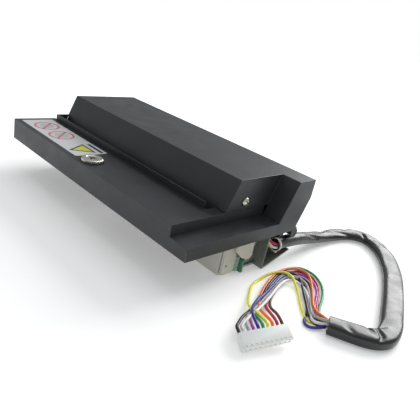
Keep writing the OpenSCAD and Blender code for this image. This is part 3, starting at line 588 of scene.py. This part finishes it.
def make_label(materials):
    """A blank sticker with plain printed shapes: two crossed rings, a triangle and a bar."""
    lo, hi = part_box("label")
    centre, top = (lo + hi) / 2, hi.z
    bm = bmesh.new()
    add_slab(bm, centred_outline(hi.x - lo.x, hi.y - lo.y, LABEL_CORNER), centre, lo.z, top)
    sticker = mesh_object("label_sticker", bm, materials["paper"])
    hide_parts("label")
    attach(sticker, "cover")

    length, depth = hi.x - lo.x, hi.y - lo.y
    ring_r, ring_w = 0.38 * depth, 1.4 * MM
    z0, z1 = top, top + PRINT_HEIGHT
    bm, inner = bmesh.new(), bmesh.new()
    for share in (0.20, 0.48):
        at = (lo.x + share * length, centre.y)
        add_ring(bm, ring_r, ring_w, at, z0, z1)
        add_slab(bm, turned_bar(2 * ring_r - ring_w, ring_w, -45), at, z0, z1)
        add_slab(inner, circle_outline(0.22 * depth), at, z0, z0 + PRINT_HEIGHT / 2)
    print_piece("label_rings", bm, materials["red_ink"])
    print_piece("label_discs", inner, materials["grey_ink"])

    at = (lo.x + 0.853 * length, centre.y - 0.01 * depth)
    bm, inner = bmesh.new(), bmesh.new()
    add_slab(bm, triangle_outline(0.75 * depth), at, z0, z0 + PRINT_HEIGHT / 2)
    add_slab(inner, triangle_outline(0.54 * depth), at, z0, z1)
    bar_at = (lo.x + 0.865 * length, hi.y - 0.13 * depth)
    add_slab(bm, turned_bar(0.23 * length, 0.10 * depth, 0), bar_at, z0, z1)
    print_piece("label_triangle_edge", bm, materials["black_ink"])
    print_piece("label_triangle", inner, materials["yellow_ink"])


# ---- Screws and springs ------------------------------------------------------

def add_knurled_head(bm, radius, height, flutes, depth, chamfer, steps_per_flute=6):
    """A fluted disc standing on z=0, with chamfered edges and a slightly hollow top."""
    steps = flutes * steps_per_flute
    profile = [(0.0, -chamfer), (chamfer, 0), (height - chamfer, 0), (height, -chamfer)]
    rings = []
    for z, inset in profile:
        ring = []
        for k in range(steps):
            turn = math.tau * k / steps
            flute = depth * (0.5 + 0.5 * math.cos(flutes * turn)) if inset == 0 else depth * 0.6
            r = radius + inset - flute
            ring.append(Vector((r * math.cos(turn), r * math.sin(turn), z)))
        rings.append(ring)
    for share, z in ((0.72, height), (0.66, height - 0.25 * MM), (0.2, height - 0.25 * MM)):
        rings.append([Vector((share * p.x, share * p.y, z)) for p in rings[3]])
    add_skin(bm, rings)


def add_thread(bm, radius, length, pitch, depth, sides=20, per_turn=6):
    """A threaded rod from z=0 down, with a true helix."""
    steps = int(length / pitch * per_turn)
    rings = []
    for j in range(steps + 1):
        z = -length * j / steps
        ring = []
        for k in range(sides):
            phase = (z / pitch + k / sides) % 1
            r = radius - depth * abs(2 * phase - 1)
            turn = math.tau * k / sides
            ring.append(Vector((r * math.cos(turn), r * math.sin(turn), z)))
        rings.append(ring)
    add_skin(bm, rings[::-1])


def cross_cutter(width, length, depth, z_top, turn):
    """A cross-shaped slab that cuts a driver recess, open at z_top, turned by a number of degrees."""
    w, h = width / 2, length / 2
    cross = [(h, w), (w, w), (w, h), (-w, h), (-w, w), (-h, w),
             (-h, -w), (-w, -w), (-w, -h), (w, -h), (w, -w), (h, -w)]
    placed = Matrix.Rotation(math.radians(turn), 3, "Z")
    rings = [[placed @ Vector((x, y, z)) for x, y in cross] for z in (z_top - depth, z_top + depth)]
    bm = bmesh.new()
    add_skin(bm, rings)
    return mesh_object("cutter", bm)


THUMB_HEAD_H = 4.9 * MM
THUMB_FLUTES = 36
THUMB_KNURL = 0.45 * MM
THUMB_SHANK_R = 2.0 * MM
THUMB_PITCH = 0.7 * MM


def make_thumb_screw(materials):
    """The knurled cover screw, with a cross recess and a threaded shank."""
    lo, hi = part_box("thumb_screw")
    centre = (lo + hi) / 2
    radius, head_h = (hi.x - lo.x) / 2, THUMB_HEAD_H
    bm = bmesh.new()
    add_knurled_head(bm, radius, head_h, THUMB_FLUTES, THUMB_KNURL, THUMB_KNURL)
    head = mesh_object("thumb_screw_head", bm, materials["nickel"], smooth=32)
    cut(head, cross_cutter(1.2 * MM, 5.4 * MM, 1.5 * MM, head_h - 0.25 * MM, 28))
    head.data.transform(Matrix.Translation((centre.x, centre.y, hi.z - head_h)))
    bm = bmesh.new()
    shank_len = hi.z - head_h - lo.z
    add_thread(bm, THUMB_SHANK_R, shank_len, THUMB_PITCH, THUMB_PITCH / 2)
    shank = mesh_object("thumb_screw_shank", bm, materials["nickel"], smooth=25)
    shank.data.transform(Matrix.Translation((centre.x, centre.y, hi.z - head_h)))
    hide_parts("thumb_screw")
    for piece in (head, shank):
        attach(piece, "screw")


def make_pan_screw(name, at, outwards, radius, height, materials):
    """A domed cross-head screw whose head stands on at, facing outwards."""
    steps, sides = 7, 32
    rings = [[Vector((radius * math.cos(math.tau * k / sides), radius * math.sin(math.tau * k / sides), 0))
              for k in range(sides)]]
    for j in range(steps):
        lift = math.radians(18 + 60 * j / (steps - 1))
        r = radius * math.cos(lift) / math.cos(math.radians(18))
        z = height * math.sin(lift) / math.sin(math.radians(78))
        rings.append([Vector((r * math.cos(math.tau * k / sides), r * math.sin(math.tau * k / sides), z))
                      for k in range(sides)])
    bm = bmesh.new()
    add_skin(bm, rings)
    screw = mesh_object(name, bm, materials["nickel"], smooth=30)
    cut(screw, cross_cutter(0.30 * radius, 1.25 * radius, 0.62 * height, height, 38))
    turn = Vector(outwards).to_track_quat("Z", "Y").to_matrix().to_4x4()
    screw.data.transform(Matrix.Translation(at) @ turn)
    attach(screw, "cover")
    return screw


SIDE_SCREW_R = 2.75 * MM
SIDE_SCREW_H = 1.8 * MM


def make_side_screws(materials):
    lo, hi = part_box("side_screws")
    y, z = (lo.y + hi.y) / 2, (lo.z + hi.z) / 2
    right = make_pan_screw("side_screw_right", (hi.x - SIDE_SCREW_H, y, z), (1, 0, 0),
                           SIDE_SCREW_R, SIDE_SCREW_H, materials)
    make_pan_screw("side_screw_left", (lo.x + SIDE_SCREW_H, y, z), (-1, 0, 0),
                   SIDE_SCREW_R, SIDE_SCREW_H, materials)
    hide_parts("side_screws")


SPRING_WIRE_R = 0.22 * MM
SPRING_R = 1.35 * MM
SPRING_TURNS = 7
SPRING_STEPS_PER_TURN = 16


def make_springs(row, materials):
    """The coil springs that press one row of pinch rollers down."""
    node = row + "_pinch_springs"
    lo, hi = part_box(node)
    y = (lo.y + hi.y) / 2
    for side, x in (("left", lo.x + (hi.y - lo.y) / 2), ("right", hi.x - (hi.y - lo.y) / 2)):
        path = []
        steps = SPRING_TURNS * SPRING_STEPS_PER_TURN
        low, high = lo.z + SPRING_WIRE_R, hi.z - SPRING_WIRE_R
        for k in range(steps + 1):
            turn = math.tau * k / SPRING_STEPS_PER_TURN
            path.append((x + SPRING_R * math.cos(turn), y + SPRING_R * math.sin(turn),
                         low + (high - low) * k / steps))
        bm = bmesh.new()
        add_tube(bm, path, SPRING_WIRE_R)
        spring = mesh_object(f"{row}_spring_{side}", bm, materials["spring_steel"], smooth=60)
        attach(spring, "cover")
        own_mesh(spring)
    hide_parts(node)


# ---- Cable sleeve ------------------------------------------------------------

# Along the sleeve, in millimetres: x, y, z, half its width and half its thickness
SLEEVE_ROUTE = [
    [89, 30, 12.6, 3.5, 3.5], [89, 36, 12.8, 3.6, 3.6], [88.9, 42, 12.6, 3.8, 3.8],
    [88.7, 48, 12, 3.9, 3.9], [88.2, 56, 10.8, 4, 3.9], [87.6, 66, 8.8, 4.2, 3.8],
    [87, 77, 6.6, 4.6, 3.6], [86.8, 88, 4.8, 5, 3.5], [87.4, 98, 3.8, 5.4, 3.4],
    [89.2, 108, 3.5, 5.7, 3.3], [93, 117, 3.5, 5.9, 3.3], [99.5, 122.5, 3.5, 6, 3.3],
    [107.5, 122.5, 3.5, 6, 3.3], [116, 118, 3.5, 6, 3.3], [125, 110, 3.5, 6, 3.3],
    [133.5, 99, 3.5, 6, 3.3], [141.5, 86, 3.5, 6, 3.3], [149, 71, 3.5, 6, 3.3],
    [156, 56, 3.5, 6, 3.3], [161.5, 43.5, 3.5, 6, 3.3], [165.6, 34, 3.5, 5.9, 3.3],
    [167.9, 26, 3.5, 5.7, 3.3], [168, 20.5, 3.5, 5.7, 3.4], [165.6, 15.9, 3.5, 5.8, 3.5],
    [161.8, 12.4, 3.6, 5.8, 3.6], [157.2, 9.6, 3.6, 5.6, 3.6], [152.2, 6.6, 3.7, 5.2, 3.6],
    [146.8, 3.6, 3.7, 4.8, 3.6],
]
# Folds pressed into the sleeve: the route point it is at, its place round the sleeve, its slant in
# degrees a millimetre, its half length and its depth
FOLDS = [
    (5.5, 150, 4.0, 12, 0.9), (7.0, 60, -5.0, 12, 1.0), (8.6, 110, 5.0, 14, 1.1), (9.8, 40, -6.0, 10, 1.3),
    (11.2, 120, 7.0, 9, 1.2), (12.6, 70, -4.0, 12, 0.9), (14.5, 100, 1.5, 16, 0.6), (17.5, 75, -1.2, 18, 0.6),
    (20.8, 115, 3.0, 12, 0.8), (22.6, 80, -9.0, 7, 1.3), (23.6, 130, 8.0, 7, 1.0), (25.4, 70, 4.0, 7, 0.6),
]
SLEEVE_SIDES = 36
SLEEVE_STEPS = 10
SLEEVE_WALL = 0.5
# The sleeve goes no further to the rear than the first, and no lower than the second
SLEEVE_REACH = 128.0
SLEEVE_LOWEST = 0.05
# Rough gap between two route points, in millimetres
SLEEVE_SPACING = 9


def across(path, k):
    """The level sideways direction at point k of a path, to the left of the way it runs."""
    ahead = Vector(path[min(k + 1, len(path) - 1)][:3]) - Vector(path[max(k - 1, 0)][:3])
    return Vector((-ahead.y, ahead.x, 0)).normalized(), ahead.normalized()


def fold_depth(k, turn):
    """How far, in millimetres, the folds press the sleeve in at ring k and at a turn round it."""
    pressed = 0.0
    for at, around, slant, reach, depth in FOLDS:
        along = (k / SLEEVE_STEPS - at) * SLEEVE_SPACING
        if abs(along) < reach:
            off = math.degrees(turn) - around - slant * along
            off = (off + 180) % 360 - 180
            pressed += depth * math.cos(math.pi / 2 * along / reach) ** 2 * math.exp(-(off / 22) ** 2)
    return pressed


def sleeve_ring(path, k, inset):
    """One ring of the sleeve: a flattened round with pressed folds, never below the floor."""
    x, y, z, half_w, half_t = path[k]
    side, ahead = across(path, k)
    up = ahead.cross(side) * -1 if ahead.cross(side).z < 0 else ahead.cross(side)
    boxy = 2 / remap_number(k / SLEEVE_STEPS, 12, 22, 2.2, 3.4)
    ring = []
    for i in range(SLEEVE_SIDES):
        turn = math.tau * i / SLEEVE_SIDES
        c, s = math.cos(turn), math.sin(turn)
        pressed = inset + fold_depth(k, turn)
        a = math.copysign(abs(c) ** boxy, c) * (half_w - pressed)
        b = math.copysign(abs(s) ** boxy, s) * (half_t - pressed)
        p = Vector((x, y, z)) + side * a + up * b
        ring.append(Vector((p.x, min(p.y, SLEEVE_REACH), max(p.z, SLEEVE_LOWEST + inset))) * MM)
    return ring


def remap_number(value, low, high, to_low, to_high):
    share = min(max((value - low) / (high - low), 0), 1)
    return to_low + share * (to_high - to_low)


def make_sleeve(materials):
    """The soft PVC sleeve, cut open at the end where the wires come out."""
    path = smooth_path(SLEEVE_ROUTE, SLEEVE_STEPS)
    last = len(path) - 1
    rings = [sleeve_ring(path, k, 0) for k in range(last + 1)]
    rings += [sleeve_ring(path, k, SLEEVE_WALL) for k in range(last, last - 3 * SLEEVE_STEPS, -1)]
    bm = bmesh.new()
    add_skin(bm, rings)
    sleeve = mesh_object("cable_sleeve_pvc", bm, materials["sleeve"], smooth=38)
    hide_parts("cable_sleeve")
    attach(sleeve, "lower_unit")


# ---- Wires and connector -----------------------------------------------------

WIRE_R = 0.8
WIRE_STEPS = 6
# Each wire: its way in the connector; its place in the sleeve's mouth, sideways and up; and the
# points it passes on its way to the connector, in millimetres
WIRES = {
    "black": (0, (1.2, 2.2), [
        (142.0, 1.4, 1.6), (136.6, 2.6, 2.5), (129.2, 10.4, 2.6), (121.6, 18.6, 2.6), (115.0, 25.6, 2.6),
        (109.4, 29.4, 2.6), (104.8, 28.2, 2.6), (103.0, 22.8, 2.6), (104.2, 15.0, 2.6),
        (107.6, 5.0, 2.6), (111.8, -4.5, 2.6), (115.8, -13.5, 3.0), (119.4, -23.5, 4.6),
        (122.6, -33.5, 6.4), (125.4, -40.0, 6.9)]),
    "white": (1, (2.4, 3.9), [
        (142.6, 0.8, 3.2), (137.4, 2.6, 2.6), (128.4, 14.2, 2.4), (121.6, 20.8, 2.4), (115.2, 23.8, 2.4),
        (110.2, 22.4, 2.4), (109.6, 16.6, 2.8), (111.9, 8.0, 3.6), (115.8, -3.0, 4.4),
        (119.8, -14.0, 5.4), (123.2, -25.0, 6.6), (125.6, -33.5, 7.4)]),
    "grey": (2, (0.8, 5.5), [
        (142.0, 3.0, 4.6), (136.6, 4.6, 3.4), (130.4, 12.2, 2.8), (122.8, 22.0, 2.6), (117.2, 27.0, 2.6),
        (111.4, 28.4, 2.6), (107.6, 25.2, 2.6), (107.2, 18.0, 2.6), (109.6, 8.0, 2.6),
        (113.4, -3.0, 2.6), (117.2, -14.0, 3.2), (120.6, -24.0, 5.0), (124.0, -32.0, 6.8)]),
    "violet": (3, (-2.2, 2.2), [
        (141.6, 5.4, 1.6), (137.2, 8.6, 0.9), (132.6, 14.2, 0.9), (128.2, 22.0, 0.9), (124.4, 28.6, 0.9),
        (119.4, 33.8, 0.9), (113.4, 36.8, 0.9), (107.8, 35.8, 0.9), (105.0, 30.6, 0.9),
        (105.0, 23.0, 0.9), (107.4, 13.0, 0.9), (110.8, 3.0, 0.9), (114.6, -8.0, 1.2),
        (118.4, -19.0, 3.0), (122.8, -29.0, 5.8)]),
    "blue": (4, (2.9, 2.2), [
        (143.2, -1.2, 1.4), (139.6, -3.0, 0.9), (136.4, -0.8, 0.9), (133.8, 5.0, 0.9), (126.8, 16.0, 1.0),
        (120.6, 23.8, 1.0), (114.6, 28.4, 1.0), (109.2, 28.6, 1.2), (106.2, 23.6, 2.8),
        (107.3, 15.0, 4.2), (110.4, 5.0, 4.2), (113.4, -6.0, 4.2), (116.0, -15.0, 4.8),
        (119.6, -23.0, 6.2), (124.2, -29.0, 7.6)]),
    "green": (5, (-3.0, 3.9), [
        (142.6, 7.4, 2.2), (138.4, 10.6, 0.9), (134.4, 15.8, 0.9), (130.2, 25.0, 0.9), (125.0, 33.6, 0.9),
        (118.2, 40.4, 0.9), (110.6, 43.8, 0.9), (104.0, 42.4, 0.9), (100.6, 37.0, 0.9),
        (100.4, 29.0, 0.9), (102.8, 17.0, 0.9), (107.2, 4.0, 0.9), (112.2, -9.0, 1.2),
        (117.6, -20.0, 3.2), (124.0, -27.0, 6.4)]),
    "yellow": (6, (-0.5, 2.2), [
        (142.4, 2.6, 1.0), (138.0, 0.6, 0.9), (133.2, 3.2, 0.9), (125.4, 10.8, 0.9), (119.6, 17.2, 0.9),
        (114.4, 21.6, 1.8), (108.8, 23.4, 4.2), (103.6, 21.2, 4.2), (100.2, 15.2, 2.6),
        (99.6, 7.0, 0.9), (101.4, -0.6, 0.9), (105.8, -8.2, 0.9), (111.2, -15.4, 1.8),
        (117.2, -22.4, 4.6), (124.4, -26.4, 7.4)]),
    "orange": (7, (-1.0, 5.5), [
        (142.0, 6.0, 4.6), (137.4, 7.4, 4.0), (132.4, 11.6, 3.8), (124.6, 22.4, 3.6), (116.0, 33.2, 3.0),
        (109.8, 37.8, 2.6), (104.2, 36.2, 2.6), (101.4, 30.4, 2.6), (101.0, 24.0, 2.6),
        (102.2, 17.0, 2.6), (106.2, 5.0, 2.6), (112.0, -7.0, 2.6), (118.6, -16.6, 3.8),
        (126.2, -22.8, 6.6)]),
    "red": (8, (-1.2, 3.9), [
        (142.2, 7.0, 3.2), (138.4, 9.0, 2.4), (134.2, 13.6, 1.2), (129.6, 21.4, 0.9), (124.8, 29.8, 0.9),
        (119.2, 36.2, 0.9), (112.8, 40.0, 0.9), (106.8, 38.8, 0.9), (103.4, 33.0, 0.9),
        (103.8, 25.0, 0.9), (106.4, 15.0, 0.9), (110.0, 5.0, 0.9), (114.6, -4.0, 1.0),
        (120.2, -12.4, 2.8), (127.4, -18.8, 6.0)]),
    "brown": (9, (0.6, 3.9), [
        (142.0, 4.6, 2.6), (137.4, 6.8, 0.9), (131.8, 12.6, 0.9), (126.4, 19.6, 0.9), (121.8, 26.8, 0.9),
        (116.2, 31.8, 0.9), (110.8, 33.0, 0.9), (107.4, 28.4, 0.9), (107.6, 21.0, 0.9),
        (109.4, 13.0, 0.9), (112.2, 5.0, 0.9), (116.0, -3.0, 1.0), (121.6, -10.4, 2.8),
        (129.0, -16.4, 6.2)]),
}
CONNECTOR_CORNER = (135.2, -46.5)
CONNECTOR_TURN, CONNECTOR_LIFT, CONNECTOR_TILT = 70, 4, 25
CONNECTOR_SIZE = (25.2, 7.6, 4.8)
WAYS = 10
WAY_PITCH = 2.5
WAY_HEIGHT = 2.4


def connector_place():
    """From the connector's own axes, ways along x and mouth to wires along y, in millimetres."""
    return (Matrix.Translation((*CONNECTOR_CORNER, 0))
            @ Matrix.Rotation(math.radians(CONNECTOR_TURN), 4, "Z")
            @ Matrix.Rotation(math.radians(-CONNECTOR_LIFT), 4, "Y")
            @ Matrix.Rotation(math.radians(CONNECTOR_TILT), 4, "X"))


def way_x(way):
    return (CONNECTOR_SIZE[0] - WAY_PITCH * (WAYS - 1)) / 2 + WAY_PITCH * way


def wire_path(way, mouth, points):
    """One wire, from inside the sleeve, through its points, into its way."""
    middle = Vector(SLEEVE_ROUTE[-2][:3]).lerp(Vector(SLEEVE_ROUTE[-1][:3]), 0.5)
    side, _ = across(SLEEVE_ROUTE, len(SLEEVE_ROUTE) - 1)
    inside = middle + side * -mouth[0]
    path = [[inside.x, inside.y, mouth[1]]] + [list(p) for p in points]
    for out in (3.6, 1.2, -1.5):
        path.append(list(connector_place() @ Vector((way_x(way), CONNECTOR_SIZE[1] + out, WAY_HEIGHT))))
    return [[v * MM for v in p] for p in smooth_path(path, WIRE_STEPS)]


def make_wires(materials, housing):
    """Ten separate coloured wires between the sleeve and the connector."""
    for name, (way, mouth, points) in WIRES.items():
        path = wire_path(way, mouth, points)
        wire = wire_curve("wire_" + name, path, WIRE_R * MM, materials["wires"][name])
        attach(wire, "lower_unit")
    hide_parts("wire_loom")


# Opposite corners of the black strip over the cable, which is painted shade filling a see-through gap there,
# in millimetres
SHADE_STRIP = ((84.9, 42.3, 16.7), (91.3, 43.5, 21.5))
# Each lead: its place in the sleeve's inner end, sideways and up, in millimetres
LEADS = {"blue": (-1.5, 1.0), "yellow": (0.2, -1.4), "red": (1.5, 1.2), "white": (1.6, -1.0)}


def make_leads(materials):
    """Short guessed leads that rise from the sleeve's inner end, inside the bracket."""
    x, y, z = SLEEVE_ROUTE[0][:3]
    for name, (dx, dz) in LEADS.items():
        path = [(x + dx, y + 2, z + dz), (x + dx, y - 1, z + dz), (x - 0.8 + dx, y - 4.5, z + 1.5 + dz),
                (x - 2.2 + 0.8 * dx, y - 7, z + 4.5 + 0.6 * dz),
                (x - 3 + 0.6 * dx, y - 7.6, z + 9 + 0.3 * dz)]
        path = [[v * MM for v in p] for p in smooth_path(path, WIRE_STEPS)]
        bm = bmesh.new()
        add_tube(bm, path, WIRE_R * MM)
        lead = mesh_object("lead_" + name, bm, materials["wires"][name], smooth=60)
        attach(lead, "lower_unit")


def make_shade_strip(materials):
    """A guessed black strip above the cable, in front of the hinge: painted shade that fills a see-through
    gap.
    """
    bm = bmesh.new()
    add_box(bm, SHADE_STRIP[0], SHADE_STRIP[1])
    bmesh.ops.bevel(bm, geom=bm.edges[:], offset=0.3, segments=2, affect="EDGES", profile=0.5)
    bmesh.ops.scale(bm, vec=(MM, MM, MM), verts=bm.verts)
    # painted shade: a black piece set where there is only shadow
    grommet = mesh_object("painted_shade_strip", bm, materials["black_plastic"], smooth=35)
    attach(grommet, "lower_unit")


def make_connector(materials):
    """The wire-to-board housing: mouth holes, wire entries, latch windows and keying ribs."""
    length, depth, height = (v * MM for v in CONNECTOR_SIZE)
    bm = bmesh.new()
    add_box(bm, (0, 0, 0), (length, depth, height))
    bmesh.ops.bevel(bm, geom=bm.edges[:], offset=0.25 * MM, segments=2, affect="EDGES", profile=0.5)
    housing = mesh_object("connector_housing_shell", bm, materials["connector"], smooth=35)
    bm = bmesh.new()
    for way in range(WAYS):
        x, z = way_x(way) * MM, WAY_HEIGHT * MM
        add_box(bm, (x - 0.5 * MM, -1 * MM, z - 0.5 * MM), (x + 0.5 * MM, 4 * MM, z + 0.5 * MM))
        add_rod(bm, 0.95 * MM, (x, depth + 1 * MM, z), (x, depth - 2.5 * MM, z), sides=16)
        add_box(bm, (x - 0.3 * MM, 0.7 * MM, height - 0.5 * MM), (x + 0.3 * MM, 1.3 * MM, height + 1 * MM))
    for way in range(WAYS - 1):
        x = (way_x(way) + WAY_PITCH / 2) * MM
        add_box(bm, (x - 0.45 * MM, -1 * MM, -1 * MM), (x + 0.45 * MM, 5.5 * MM, 0.55 * MM))
    cut(housing, mesh_object("cutter", bm))
    place_mm = connector_place()
    place_mm.translation *= MM
    housing.data.transform(place_mm)
    housing.data.shade_smooth()
    housing.data.set_sharp_from_angle(angle=math.radians(35))
    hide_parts("connector_housing")
    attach(housing, "lower_unit")
    return housing


# ---- Scene -------------------------------------------------------------------

make_camera()
make_studio()
make_floor()
MATERIALS = make_materials()
make_sleeve(MATERIALS)
make_wires(MATERIALS, make_connector(MATERIALS))
make_leads(MATERIALS)
make_shade_strip(MATERIALS)
dress_kept_nodes(MATERIALS)
make_label(MATERIALS)
make_thumb_screw(MATERIALS)
make_side_screws(MATERIALS)
for spring_row in ("front", "rear"):
    make_springs(spring_row, MATERIALS)
